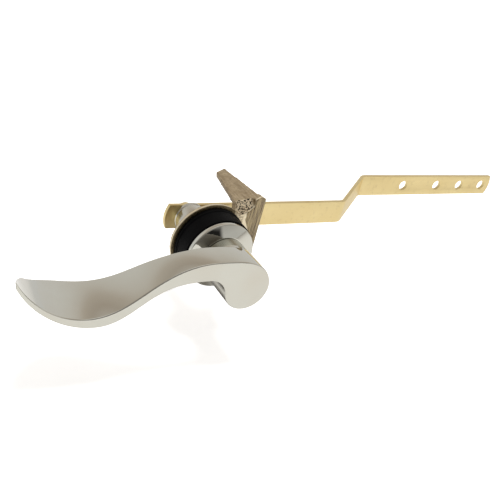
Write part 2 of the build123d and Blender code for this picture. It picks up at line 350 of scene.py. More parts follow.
def nut_places(finish):
    """Masks from 0 to 1 for the places on the nut that look different."""
    place = add(finish.tree, "ShaderNodeTexCoord").outputs["Object"]
    along = add(finish.tree, "ShaderNodeSeparateXYZ", {"Vector": place}).outputs

    def below(value, start, end):
        return finish.span(value, 1.0, 0.0, start * MM, end * MM)

    def in_front(start, end):
        return finish.span(along["Y"], 1.0, 0.0, NUT_FRONT + start * MM, NUT_FRONT + end * MM)

    def near_bevel(start, end):
        across = vector_calc(finish.tree, "DOT_PRODUCT", place, bevel_normal, "Value")
        return finish.span(across, 0.0, 1.0, bevel_offset - start * MM, bevel_offset - end * MM)

    rim_side = below(along["X"], 10.0, 12.0)
    rim = finish.calc("MULTIPLY", in_front(1.2, 1.8), rim_side)
    ear_front = finish.calc("MULTIPLY", in_front(2.7, 3.6), finish.calc("SUBTRACT", 1.0, rim_side))
    from_scoop = vector_calc(finish.tree, "SUBTRACT", place, SCOOP_PLACE, "Vector")
    aside = vector_calc(finish.tree, "CROSS_PRODUCT", from_scoop, SCOOP_AXIS, "Vector")
    radius = add(finish.tree, "ShaderNodeVectorMath", {0: aside}, operation="LENGTH").outputs["Value"]
    reach = vector_calc(finish.tree, "DOT_PRODUCT", from_scoop, SCOOP_AXIS, "Value")
    on_scoop = finish.span(radius, 1.0, 0.0, SCOOP_RADIUS + 0.2 * MM, SCOOP_RADIUS + 0.6 * MM)
    past_start = finish.span(reach, 0.0, 1.0, -7.5 * MM, -5.5 * MM)
    in_reach = finish.calc("MULTIPLY", past_start, below(reach, 1.0, 2.6))
    return {
        "ground": near_bevel(0.25, 0.12),
        # The band beside the bevel that gets a painted highlight.
        "edge": near_bevel(0.9, 0.5),
        "rim": rim,
        # The rim's front ring, which gets painted shade while its outer wall gets a painted highlight.
        "rim_face": in_front(0.3, 0.7),
        "front": finish.calc("ADD", ear_front, rim),
        "pitted": finish.calc("MULTIPLY", on_scoop, in_reach),
    }


print("the nut's front is at", round(NUT_FRONT / MM, 2), "mm")

# %% [markdown]
# The cast skin is dull and brown with dark grains left in its hollows. The colours are laid over one
# another: first the skin, then the paler front, the drag lines and grains, the rim with painted shade
# on its front ring and a painted highlight on its outer wall, the pits with painted shade and glints,
# the painted highlight along the edge beside the bevel, and last the streaks of the grinding wheel.

# %% Cast brass with one ground bevel
SKIN_TAN = (0.52, 0.42, 0.27)
SKIN_BROWN = (0.40, 0.305, 0.185)
FRONT_PALE = (0.98, 0.87, 0.63)
DRAG_DARK = (0.24, 0.17, 0.095)
GRAIN_DARK = (0.16, 0.11, 0.055)
# Painted light on the rim: a pale painted highlight on its outer wall and a dark painted shade on its front
# ring.
RIM_WALL_HIGHLIGHT = (0.85, 0.75, 0.54)
RIM_FRONT_SHADE = (0.13, 0.1, 0.055)
# The pits are real, but their near-black colour is painted shade in the hollow and their pale specks are
# painted glints.
PIT_GLINT = (0.9, 0.76, 0.54)
PIT_DARK_SHADE = (0.02, 0.013, 0.007)
# A painted highlight along the edge between the fin and the ground bevel.
EDGE_HIGHLIGHT = (0.98, 0.87, 0.64)
STREAK_DARK = (0.085, 0.056, 0.023)
STREAK_PALE = (0.45, 0.352, 0.19)
FRONT_SHARE = 0.92
GRAIN_SHARE = 0.3
EDGE_HIGHLIGHT_SHARE = 0.8
STREAK_RELIEF = 0.6
PIT_RELIEF = -3.0
CAST_DEPTH = 0.12 * MM


def cast_finish():
    finish = Finish("sand_cast_brass")
    on = nut_places(finish)
    grains = finish.patches(900.0, 0.42, 0.62)
    pits = finish.patches(1150.0, 0.5, 0.59)
    grinding = finish.lines(1500.0, 1500.0, 100.0)
    drag = finish.span(finish.lines(900.0, 90.0, 900.0), 0.0, 0.8, 0.4, 0.7)
    tan = finish.blend(finish.patches(110.0, 0.3, 0.7), SKIN_TAN, SKIN_BROWN)
    tan = finish.blend(finish.calc("MULTIPLY", on["front"], FRONT_SHARE), tan, FRONT_PALE)
    tan = finish.blend(drag, tan, DRAG_DARK)
    tan = finish.blend(finish.calc("MULTIPLY", grains, GRAIN_SHARE), tan, GRAIN_DARK)
    # Painted light on the rim: painted shade on its front ring and a painted highlight on its outer wall.
    tan = finish.blend(on["rim"], tan, finish.blend(on["rim_face"], RIM_WALL_HIGHLIGHT, RIM_FRONT_SHADE))
    # Painted shade and painted glints over the real pits in the hollow at the fin's root.
    tan = finish.blend(on["pitted"], tan, finish.blend(pits, PIT_GLINT, PIT_DARK_SHADE))
    # A painted highlight along the edge beside the bevel.
    tan = finish.blend(finish.calc("MULTIPLY", on["edge"], EDGE_HIGHLIGHT_SHARE), tan, EDGE_HIGHLIGHT)
    streaked = finish.blend(finish.span(grinding, 0.0, 1.0, 0.38, 0.6), STREAK_DARK, STREAK_PALE)
    finish.look("Base Color", finish.blend(on["ground"], tan, streaked))
    ground_or_front = finish.calc("MAXIMUM", on["ground"], on["front"])
    finish.look("Metallic", finish.span(ground_or_front, 0.45, 0.9))
    finish.look("Roughness", finish.span(ground_or_front, 0.5, 0.36))
    relief = finish.calc("ADD", grains, finish.calc("MULTIPLY", grinding, STREAK_RELIEF))
    sunk = finish.calc("MULTIPLY", finish.calc("MULTIPLY", pits, on["pitted"]), PIT_RELIEF)
    finish.bump(finish.calc("ADD", relief, sunk), CAST_DEPTH, 0.7)
    return finish.material


cast_brass = cast_finish()
print("made", cast_brass.name)

# %% [markdown]
# The gasket is moulded black rubber: dark, dry and a little chalky where it has been handled.
# The set screw and the spring washer are plain steel, with turning marks.

# %% Rubber and plain steel
RUBBER_BLACK = (0.0012, 0.0012, 0.0014)
RUBBER_CHALK = (0.003, 0.003, 0.0033)
STEEL_LIGHT = (0.5, 0.5, 0.51)
STEEL_DARK = (0.36, 0.36, 0.36)
PORE_DEPTH = 0.03 * MM
TURNING_DEPTH = 0.01 * MM


def rubber_finish():
    finish = Finish("black_rubber")
    pores = finish.patches(1800.0, 0.3, 0.7)
    finish.look("Base Color", finish.blend(finish.patches(120.0, 0.45, 0.8), RUBBER_BLACK, RUBBER_CHALK))
    finish.look("Specular IOR Level", 0.06)
    finish.look("Roughness", finish.span(pores, 0.42, 0.6))
    finish.bump(pores, PORE_DEPTH, 0.6)
    return finish.material


def steel_finish():
    finish = Finish("plain_steel")
    marks = finish.lines(2600.0, 300.0, 2600.0)
    finish.look("Base Color", finish.blend(finish.patches(300.0, 0.3, 0.7), STEEL_LIGHT, STEEL_DARK))
    finish.look("Metallic", 1.0)
    finish.look("Roughness", finish.span(marks, 0.28, 0.42))
    finish.bump(marks, TURNING_DEPTH, 0.5)
    return finish.material


black_rubber = rubber_finish()
plain_steel = steel_finish()
print("made", black_rubber.name, plain_steel.name)

# %% [markdown]
# The handle is the piece that people see and touch. Its front is flat, and its top and underside
# follow one wave, so the shape is that outline carried back to a curved plan form. The outline is
# made of cubic curves with set slopes, as in the CAD model. Reflections show every kink, so the
# mesh is lofted in rings with its edges rounded in the loft, and no facets are left to shade.

# %% The wave outline
HUB_RADIUS = 10.7
HUB_FILLET = 9.0
ROOT_THICKNESS = 8.9
NOSE_ANGLE = 25.0
RISE_ANGLE = 38.0
TIP_ANGLE = 62.0
WAVE_PULL = 0.41
TIP = (-99.8, 11.6)
TROUGH = (-69.6, -8.3)
RISE = (-45.5, 3.1)
CREST = (-16.0, 14.1)
TIP_BELOW = (-99.8, 9.0)
BELLY = (-66.0, -12.9)
RISE_BELOW = (-45.5, -2.3)


def on_hub(angle):
    return (HUB_RADIUS * math.cos(math.radians(angle)), HUB_RADIUS * math.sin(math.radians(angle)))


def bend(start, start_angle, end, end_angle, steps=60):
    """Points of a cubic curve between two points of the wave, without the last one."""
    pull = WAVE_PULL * abs(end[0] - start[0])
    first, second = math.radians(start_angle), math.radians(end_angle)
    corners = np.array([
        start,
        (start[0] + pull * math.cos(first), start[1] + pull * math.sin(first)),
        (end[0] - pull * math.cos(second), end[1] - pull * math.sin(second)),
        end,
    ])
    t = np.linspace(0.0, 1.0, steps, endpoint=False)[:, None]
    weights = np.hstack([(1 - t) ** 3, 3 * t * (1 - t) ** 2, 3 * t**2 * (1 - t), t**3])
    return weights @ corners


def arc(centre, radius, start_angle, end_angle, steps):
    angles = np.radians(np.linspace(start_angle, end_angle, steps, endpoint=False))
    return np.stack([centre[0] + radius * np.cos(angles), centre[1] + radius * np.sin(angles)], 1)


root_underside = CREST[1] - ROOT_THICKNESS
fillet_height = root_underside - HUB_FILLET
fillet_reach = math.sqrt((HUB_RADIUS + HUB_FILLET) ** 2 - fillet_height**2)
fillet_start = (-fillet_reach, root_underside)
fillet_angle = math.degrees(math.atan2(fillet_height, -fillet_reach))
top_line = np.vstack([
    bend(TIP, -TIP_ANGLE, TROUGH, 0),
    bend(TROUGH, 0, RISE, RISE_ANGLE),
    bend(RISE, RISE_ANGLE, CREST, 0),
    bend(CREST, 0, on_hub(NOSE_ANGLE), NOSE_ANGLE - 90),
])
under_line = np.vstack([
    bend(fillet_start, 180, RISE_BELOW, 180 + RISE_ANGLE),
    bend(RISE_BELOW, 180 + RISE_ANGLE, BELLY, 180),
    bend(BELLY, 180, TIP_BELOW, 180 - TIP_ANGLE),
    [TIP_BELOW],
])
hub_line = arc((0.0, 0.0), HUB_RADIUS, NOSE_ANGLE, fillet_angle, 90)
corner_line = arc((-fillet_reach, fillet_height), HUB_FILLET, fillet_angle + 180, 90, 30)
print("outline points", len(top_line), len(hub_line), len(corner_line), len(under_line))

# %% [markdown]
# Seen from above, the blade is narrow at the hub, sweeps out to a wide paddle and ends in a rounded
# point. A curve that tells how far back the edge lies at each place along the blade is enough for the
# loft. The paddle is up to a millimetre deeper than in the CAD model, to follow the real outline.

# %% The plan form
HUB_GAP = 0.3
HANDLE_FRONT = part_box("handle")[0].y / MM
HUB_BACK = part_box("bushing")[0].y / MM - HUB_GAP
ROOT_DEPTH = 12.8
NECK = (-24.0, ROOT_DEPTH)
PAST_HUB = (20.0, ROOT_DEPTH)
SWEEP = (-49.5, 19.8)
PADDLE = (-74.0, 27.8)
CORNER = (-91.5, 18.3)
TIP_POINT = math.radians(28.0)
TIP_BLUNTNESS = 1.6
CORNER_SLOPE = 0.92
SWEEP_SLOPE = -0.42


def hermite(points, slopes):
    """Smooth depth over distance through a few points with set slopes."""
    xs, ys = np.array(points).T

    def depth(x):
        i = np.clip(np.searchsorted(xs, x) - 1, 0, len(xs) - 2)
        run = xs[i + 1] - xs[i]
        t = np.clip((x - xs[i]) / run, 0.0, 1.0)
        m0, m1 = slopes[i] * run, slopes[i + 1] * run
        return (
            (2 * t**3 - 3 * t**2 + 1) * ys[i]
            + (t**3 - 2 * t**2 + t) * m0
            + (3 * t**2 - 2 * t**3) * ys[i + 1]
            + (t**3 - t**2) * m1
        )

    return depth


tip_slope = 1 / math.tan(TIP_POINT) * TIP_BLUNTNESS
blade_depth = hermite(
    [(TIP[0], 0.0), CORNER, PADDLE, SWEEP, NECK, PAST_HUB],
    np.array([tip_slope, CORNER_SLOPE, 0.0, SWEEP_SLOPE, 0.0, 0.0]),
)
print("paddle depth", float(blade_depth(PADDLE[0])), "at the corner", float(blade_depth(CORNER[0])))

# %% [markdown]
# Before the loft, the outline is divided into stations, closer together near the tip where it bends
# most. Each point needs the way out of the outline, its depth, and a round that stays small where
# the blade is thin.

# %% The stations of the loft
EDGE_ROUND = 0.55
TIP_ZONE = 12.0
TIP_STATIONS = 40
TIP_CROWDING = 1.6
BLADE_STATIONS = 110
THIN_SHARE = 0.2
SHALLOW_SHARE = 0.45
HUB_FADE = 1.2
ROOT_GAP = 0.05

stations = np.concatenate([
    TIP[0] + TIP_ZONE * np.linspace(0.0, 1.0, TIP_STATIONS, endpoint=False) ** TIP_CROWDING,
    np.linspace(TIP[0] + TIP_ZONE, -fillet_reach, BLADE_STATIONS),
])
under_sorted = under_line[np.argsort(under_line[:, 0])]
blade_top = np.stack([stations, np.interp(stations, top_line[:, 0], top_line[:, 1])], 1)
blade_under = np.stack([stations, np.interp(stations, under_sorted[:, 0], under_sorted[:, 1])], 1)
past_root = top_line[top_line[:, 0] > -fillet_reach + ROOT_GAP]
lobe = np.vstack([past_root, hub_line, corner_line])
outline = np.vstack([blade_top, lobe, blade_under[::-1]])
ahead = np.roll(outline, -1, 0) - np.roll(outline, 1, 0)
normal = np.stack([-ahead[:, 1], ahead[:, 0]], 1)
normal /= np.linalg.norm(normal, axis=1)[:, None]
depth = np.array([float(blade_depth(x)) for x in outline[:, 0]])
thickness = np.interp(outline[:, 0], stations, blade_top[:, 1] - blade_under[:, 1])
edge_round = np.minimum(EDGE_ROUND, np.minimum(THIN_SHARE * thickness, SHALLOW_SHARE * depth))
hub_share = np.clip((np.hypot(*outline.T) - HUB_RADIUS) / HUB_FADE, 0.0, 1.0)
back_round = edge_round * np.where(outline[:, 0] > -fillet_reach, hub_share, 1.0)
print("points in a ring", len(outline), "of them on the blade", 2 * len(stations))

# %% [markdown]
# The loft repeats the outline as rings. The first rings turn the front edge over in a small round, one
# long wall runs back, and the last rings turn the back edge. The two flat ends are filled by joining
# each point of the top with the point of the underside below it.

# %% The handle's loft
ROUND_STEPS = 5
WELD = 0.01 * MM


def loft_ring(turn, rounds, at_back):
    """One ring of the loft: turn 0 lies on the flat end, and 90 on the wall."""
    inset = rounds * (1 - math.sin(math.radians(turn)))
    step = rounds * (1 - math.cos(math.radians(turn)))
    flat = outline - normal * inset[:, None]
    flat[:, 0] = np.maximum(flat[:, 0], TIP[0])
    y = HANDLE_FRONT + (depth - step if at_back else step)
    return np.stack([flat[:, 0], y, flat[:, 1]], 1)


turns = np.linspace(0.0, 90.0, ROUND_STEPS + 1)
rings = [loft_ring(turn, edge_round, False) for turn in turns]
rings += [loft_ring(turn, back_round, True) for turn in turns[::-1]]


def handle_loft():
    bm = bmesh.new()
    verts = [[bm.verts.new(Vector(p) * MM) for p in ring] for ring in rings]
    count = len(outline)
    for lower, upper in zip(verts, verts[1:]):
        for i in range(count):
            j = (i + 1) % count
            bm.faces.new((lower[i], lower[j], upper[j], upper[i]))
    last = len(stations) - 1
    for ring in (verts[0], verts[-1]):
        for i in range(last):
            bm.faces.new((ring[i], ring[i + 1], ring[count - 2 - i], ring[count - 1 - i]))
        bm.faces.new(ring[last:count - last])
    bmesh.ops.remove_doubles(bm, verts=bm.verts, dist=WELD)
    bmesh.ops.dissolve_degenerate(bm, dist=WELD, edges=bm.edges)
    return mesh_from("blade", bm)


blade_mesh = handle_loft()
print("rings", len(rings), "faces", len(blade_mesh.polygons))

# %% [markdown]
# Turned shapes are a half section spun about the axis. No turned edge is quite sharp, and a small round
# catches a thin line of light, so each corner of a section is replaced by a short curve.

# %% Spun sections
SPIN_STEPS = 160
CORNER_STEPS = 5
CORNER_SHARE = 0.45


def rounded(points, radius):
    """A closed half section with each corner replaced by a small round."""
    corners = np.array(points, float)
    made = []
    for i, corner in enumerate(corners):
        to_last = corners[i - 1] - corner
        to_next = corners[(i + 1) % len(corners)] - corner
        last_run, next_run = np.linalg.norm(to_last), np.linalg.norm(to_next)
        reach = min(radius, CORNER_SHARE * last_run, CORNER_SHARE * next_run)
        start = corner + to_last / last_run * reach
        end = corner + to_next / next_run * reach
        for t in np.linspace(0.0, 1.0, CORNER_STEPS):
            made.append((1 - t) ** 2 * start + 2 * t * (1 - t) * corner + t**2 * end)
    return made


def spun(name, section):
    """Spins a closed section of (radius, place along the axis), in millimetres, about Y."""
    bm = bmesh.new()
    loops = []
    for k in range(SPIN_STEPS):
        turn = 2 * math.pi * k / SPIN_STEPS
        loops.append([
            bm.verts.new((r * MM * math.cos(turn), y * MM, r * MM * math.sin(turn))) for r, y in section
        ])
    for k in range(SPIN_STEPS):
        here, there = loops[k], loops[(k + 1) % SPIN_STEPS]
        for i in range(len(section)):
            j = (i + 1) % len(section)
            bm.faces.new((here[i], here[j], there[j], there[i]))
    return mesh_from(name, bm)


print("sections are spun in", SPIN_STEPS, "steps")

# %% [markdown]
# Behind the blade the hub is a plain round boss. It starts a little inside the blade, so that a boolean
# can join the two into one closed casting. The screw hole under it is cut with a boolean too, so that
# the set screw shows in it from below. The cutter is twisted a little, because a boolean makes slivers
# where corners of two meshes meet exactly.

# %% The hub and the finished handle
SPINDLE_RADIUS = 4.5
BORE_GAP = 0.03
PEG_TWIST = math.radians(2.0)
PEG_STEPS = 48
PEG_PLACE = 1.1
JOIN_OVERLAP = 1.0
JOIN_STEP = 0.005
HUB_EDGE = 0.5
HUB_WALL = 4.0
HANDLE_SHARP = 32


def combined(mesh, other_mesh, operation, name):
    """The first mesh with the second one added or taken away, as a new mesh."""
    body_piece = placed(name, mesh)
    other = placed(name + "_other", other_mesh)
    boolean = body_piece.modifiers.new("combine", "BOOLEAN")
    boolean.operation = operation
    boolean.solver = "EXACT"
    boolean.object = other
    made = taken(body_piece)
    made.name = name
    bpy.data.objects.remove(other)
    return made


def upright_peg(radius, length, middle):
    """A plain round cutter along Z."""
    bm = bmesh.new()
    place = Matrix.Translation(middle) @ Matrix.Rotation(PEG_TWIST, 4, "Z")
    size = {"radius1": radius, "radius2": radius, "depth": length}
    bmesh.ops.create_cone(bm, cap_ends=True, segments=PEG_STEPS, matrix=place, **size)
    return mesh_from("peg", bm)


set_low, set_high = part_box("set_screw")
set_place = (set_low + set_high) / 2
set_radius = (set_high.x - set_low.x) / 2 + BORE_GAP * MM
root_back = HANDLE_FRONT + ROOT_DEPTH
hub_inner = SPINDLE_RADIUS + BORE_GAP
hub_outer = HUB_RADIUS - JOIN_STEP
hub_corners = [(hub_outer, root_back + HUB_WALL), (hub_outer, HUB_BACK), (hub_inner, HUB_BACK)]
back_edge = rounded(hub_corners, HUB_EDGE)[CORNER_STEPS:2 * CORNER_STEPS]
hub_mesh = spun("hub", [
    (hub_inner, root_back - JOIN_OVERLAP),
    (hub_outer, root_back - JOIN_OVERLAP),
    *back_edge,
    (hub_inner, HUB_BACK),
])
hole_middle = (0.0, set_place.y, -HUB_RADIUS * PEG_PLACE * MM)
screw_hole = upright_peg(set_radius, HUB_RADIUS * 2 * MM, hole_middle)
hub_mesh = combined(hub_mesh, screw_hole, "DIFFERENCE", "hub")
handle_mesh = combined(blade_mesh, hub_mesh, "UNION", "handle_casting")
coat(handle_mesh, HANDLE_SHARP, polished_nickel)
new_piece("handle_casting", handle_mesh, "lever", "handle")

# %% [markdown]
# The collar covers the edge of the hole in the tank. It is turned in one with its threaded shank, so it
# is one spun section. Its face is a shallow cone that catches the light as one clean ring.

# %% The collar
TURNED_SHARP = 40
TURNED_EDGE = 0.4
RUNNING_GAP = 0.05
COLLAR_RIM = 2.4
SHANK_RADIUS = 7.5
BORE_RADIUS = SPINDLE_RADIUS + RUNNING_GAP

collar_low, collar_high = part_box("bushing")
collar_radius = collar_high.x / MM
collar_front = collar_low.y / MM
shank_end = collar_high.y / MM
collar_mesh = spun("collar_bushing", rounded([
    (BORE_RADIUS, collar_front),
    (HUB_RADIUS, collar_front),
    (collar_radius, -COLLAR_RIM),
    (collar_radius, 0.0),
    (SHANK_RADIUS, 0.0),
    (SHANK_RADIUS, shank_end),
    (BORE_RADIUS, shank_end),
], TURNED_EDGE))
coat(collar_mesh, TURNED_SHARP, mirror_nickel)
new_piece("collar_bushing", collar_mesh, "tank_fitting", "bushing")

# %% [markdown]
# The gasket is a thick rubber washer with a small lip at its back, where the mould parted. Rubber has
# softer edges than turned metal, so its rounds are a little larger.

# %% The gasket
GASKET_LIP = 2.6
GASKET_STEP = 0.5
GASKET_EDGE = 0.45

gasket_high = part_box("gasket")[1]
gasket_radius = gasket_high.x / MM
gasket_back = gasket_high.y / MM
gasket_bore = SHANK_RADIUS + RUNNING_GAP
gasket_mesh = spun("rubber_gasket", rounded([
    (gasket_bore, 0.0),
    (gasket_radius - GASKET_STEP, 0.0),
    (gasket_radius - GASKET_STEP, gasket_back - GASKET_LIP),
    (gasket_radius, gasket_back - GASKET_LIP + GASKET_STEP),
    (gasket_radius, gasket_back),
    (gasket_bore, gasket_back),
], GASKET_EDGE))
coat(gasket_mesh, TURNED_SHARP, black_rubber)
new_piece("rubber_gasket", gasket_mesh, "tank_fitting", "gasket")

# %% [markdown]
# The spindle runs from the handle to the arm. Behind the shank it has a thick shoulder with a groove,
# and it ends in a square that carries the arm. The shoulder is spun, and a boolean adds the square.

# %% The spindle
CORE_RADIUS = 0.02
SHOULDER_GAP = 0.3
FLANGE = 1.5
GROOVE_WIDTH = 1.3
GROOVE_DEPTH = 0.3
SQUARE = 7.0 * MM

spindle_low, spindle_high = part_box("spindle")
arm_low, arm_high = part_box("arm")
arm_front = arm_low.y / MM
shoulder = spindle_high.x / MM
groove = shoulder - GROOVE_DEPTH
groove_front = arm_front - FLANGE - GROOVE_WIDTH
shaft_mesh = spun("shaft", rounded([
    (CORE_RADIUS, spindle_low.y / MM),
    (SPINDLE_RADIUS, spindle_low.y / MM),
    (SPINDLE_RADIUS, shank_end + SHOULDER_GAP),
    (shoulder, shank_end + SHOULDER_GAP),
    (shoulder, groove_front),
    (groove, groove_front + GROOVE_DEPTH),
    (groove, arm_front - FLANGE - GROOVE_DEPTH),
    (shoulder, arm_front - FLANGE),
    (shoulder, arm_front),
    (CORE_RADIUS, arm_front),
], TURNED_EDGE))
square_front = (arm_front - JOIN_OVERLAP) * MM
square_length = spindle_high.y - square_front
square_place = Matrix.Translation((0, square_front + square_length / 2, 0))
square_shape = square_place @ Matrix.Diagonal((SQUARE, square_length, SQUARE, 1))
square_bm = bmesh.new()
bmesh.ops.create_cube(square_bm, size=1.0, matrix=square_shape)
spindle_mesh = combined(shaft_mesh, mesh_from("square", square_bm), "UNION", "turned_spindle")
coat(spindle_mesh, TURNED_SHARP, satin_nickel)
new_piece("turned_spindle", spindle_mesh, "lever", "spindle")

# %% [markdown]
# Behind the nut a short length of the shank shows its thread. A thread is a ridge that follows a
# helix, so Geometry Nodes sweep a small four-sided ridge along a spiral. The tree takes the radius, the
# length, the turns and the height as inputs.

# %% A tree for the thread
SPIRAL_STEPS = 96
RIDGE_SIDES = 4


def paint_result(tree, geometry, material):
    """Ends a tree: what it made becomes one mesh with its finish on it."""
    whole = add(tree, "GeometryNodeRealizeInstances", {"Geometry": geometry})
    paint = add(tree, "GeometryNodeSetMaterial", {"Geometry": whole, "Material": material})
    add(tree, "NodeGroupOutput", {"Geometry": paint})


def thread_tree():
    tree = bpy.data.node_groups.new("thread_ridge", "GeometryNodeTree")
    identifiers = group_inputs(tree, {
        "Radius": 0.0075, "Length": 0.004, "Turns": 3.0, "Height": 0.0005, "Finish": None,
    })
    tree.interface.new_socket(name="Geometry", in_out="OUTPUT", socket_type="NodeSocketGeometry")
    given = add(tree, "NodeGroupInput").outputs
    spiral = add(tree, "GeometryNodeCurveSpiral", {
        "Resolution": SPIRAL_STEPS,
        "Rotations": given["Turns"],
        "Start Radius": given["Radius"],
        "End Radius": given["Radius"],
        "Height": given["Length"],
    })
    circle = {"Resolution": RIDGE_SIDES, "Radius": given["Height"]}
    ridge = add(tree, "GeometryNodeCurvePrimitiveCircle", circle)
    curves = {"Curve": spiral, "Profile Curve": ridge, "Fill Caps": True}
    paint_result(tree, add(tree, "GeometryNodeCurveToMesh", curves), given["Finish"])
    return tree, identifiers


def run_tree(piece, tree, identifiers, values):
    """Puts a tree on an object and sets its inputs before it is first evaluated."""
    maker = piece.modifiers.new(tree.name, "NODES")
    maker.node_group = tree
    for name, value in values.items():
        maker[identifiers[name]] = value


ridge_tree, ridge_inputs = thread_tree()
print("tree", ridge_tree.name, "with inputs", list(ridge_inputs))

# %% [markdown]
# The tree runs on an empty mesh, and its result is taken as a plain mesh. The spiral rises along Z, so
# the mesh is turned to lie along Y and moved behind the nut.

# %% The shank's thread
NUT_BACK = 19.0
THREAD_PITCH = 1.5
THREAD_HEIGHT = 0.55
THREAD_SINK = 0.25
THREAD_END = 1.0

thread_length = (shank_end - NUT_BACK - 2 * THREAD_END) * MM
carrier = placed("thread_carrier", bpy.data.meshes.new("thread_carrier"))
run_tree(carrier, ridge_tree, ridge_inputs, {
    "Radius": (SHANK_RADIUS - THREAD_SINK) * MM,
    "Length": thread_length,
    "Turns": thread_length / MM / THREAD_PITCH,
    "Height": THREAD_HEIGHT * MM,
    "Finish": polished_nickel,
})
thread_mesh = taken(carrier)
along_y = Matrix.Rotation(math.radians(-90), 4, "X")
thread_mesh.transform(Matrix.Translation((0, (NUT_BACK + THREAD_END) * MM, 0)) @ along_y)
thread_bm = bmesh.new()
thread_bm.from_mesh(thread_mesh)
bmesh.ops.recalc_face_normals(thread_bm, faces=thread_bm.faces)
thread_bm.to_mesh(thread_mesh)
thread_bm.free()
thread_piece = placed("shank_thread", thread_mesh)
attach(thread_piece, "tank_fitting")
print("thread faces", len(thread_mesh.polygons))

# %% [markdown]
# The arm is a strip that is bent twice, so that its far end hangs over the flush valve. The centre line
# is straight but for two round bends. At each of its points the strip also needs the way it faces.

# %% The arm's centre line
ARM_THICKNESS = 2.0
BEND_REACH = 93.0
JOGGLE_RUN = 34.5
JOGGLE_DEPTH = 29.5
BEND_RADIUS = 6.0
BEND_STEPS = 10
END_ROUND = 14.0

arm_heel = -arm_low.x / MM
arm_reach = arm_high.x / MM
arm_half = arm_high.z / MM
middle = arm_front + ARM_THICKNESS / 2
far_middle = middle + JOGGLE_DEPTH


def bend_points(before, corner, after):
    """Points of the round at a corner of the centre line, with the way it faces at each."""
    before, corner, after = np.array([before, corner, after])
    u = (corner - before) / np.linalg.norm(corner - before)
    v = (after - corner) / np.linalg.norm(after - corner)
    turn = math.acos(float(u @ v))
    side = 1.0 if u[0] * v[1] - u[1] * v[0] > 0 else -1.0
    start = corner - u * BEND_RADIUS * math.tan(turn / 2)
    left = np.array([-u[1], u[0]]) * side
    centre = start + left * BEND_RADIUS
    made = []
    for a in np.linspace(0.0, turn, BEND_STEPS):
        way = u * math.cos(a) + left * math.sin(a)
        place = centre + (-left * math.cos(a) + u * math.sin(a)) * BEND_RADIUS
        made.append((place, way))
    return made


path = [
    (-arm_heel, middle),
    (BEND_REACH, middle),
    (BEND_REACH + JOGGLE_RUN, far_middle),
    (arm_reach, far_middle),
]
end_rise = END_ROUND - math.sqrt(END_ROUND**2 - arm_half**2)
flat_way = np.array([1.0, 0.0])
spine = [(np.array((-arm_heel + end_rise, middle)), flat_way)]
spine += bend_points(*path[:3])
spine += bend_points(*path[1:])
spine += [(np.array((arm_reach - end_rise, far_middle)), flat_way)]
print("points on the centre line", len(spine))

# %% [markdown]
# The strip has a front skin and a back skin on either side of that line, and both its ends are cut to an
# arc. A band of faces round the edge joins the two skins.

# %% The arm's strip
END_STEPS = 17


def end_points(x_end, side, y):
    """The arc at one end of a skin, from the top edge to the bottom edge."""
    half_angle = math.asin(arm_half / END_ROUND)
    centre = x_end - side * END_ROUND
    return [
        Vector((centre + side * END_ROUND * math.cos(a), y, END_ROUND * math.sin(a))) * MM
        for a in np.linspace(half_angle, -half_angle, END_STEPS)[1:-1]
    ]


def strip_mesh():
    bm = bmesh.new()
    skins = []
    for side in (-1.0, 1.0):
        offset = side * ARM_THICKNESS / 2
        top, bottom = [], []
        for place, way in spine:
            x, y = place + np.array([-way[1], way[0]]) * offset
            top.append(bm.verts.new(Vector((x, y, arm_half)) * MM))
            bottom.append(bm.verts.new(Vector((x, y, -arm_half)) * MM))
        heel = [bm.verts.new(p) for p in end_points(-arm_heel, -1.0, middle + offset)]
        tail = [bm.verts.new(p) for p in end_points(arm_reach, 1.0, far_middle + offset)]
        for i in range(len(top) - 1):
            bm.faces.new((top[i], top[i + 1], bottom[i + 1], bottom[i]))
        bm.faces.new([top[0], *heel, bottom[0]])
        bm.faces.new([top[-1], *tail, bottom[-1]])
        skins.append([*top, *tail, *bottom[::-1], *heel[::-1]])
    front, back = skins
    for i in range(len(front)):
        j = (i + 1) % len(front)
        bm.faces.new((front[i], front[j], back[j], back[i]))
    return mesh_from("strip_blank", bm)


strip_piece = placed("strip_blank", strip_mesh())
print("strip faces", len(strip_piece.data.polygons))

# %% [markdown]
# The chain holes are punched, so the tree for them works like a punch. A line of points gives the evenly
# spaced holes, one more point gives the first hole, and a round punch stands on each. The square hole
# for the spindle has a punch of its own. Mesh Boolean takes them all away at once.

# %% A tree for the punches
PUNCH_SIDES = 64
PUNCH_LENGTH = 0.02
ROW_HOLES = 3
QUARTER_TURN = (math.radians(90), 0.0, 0.0)
ORIGIN = (0.0, 0.0, 0.0)


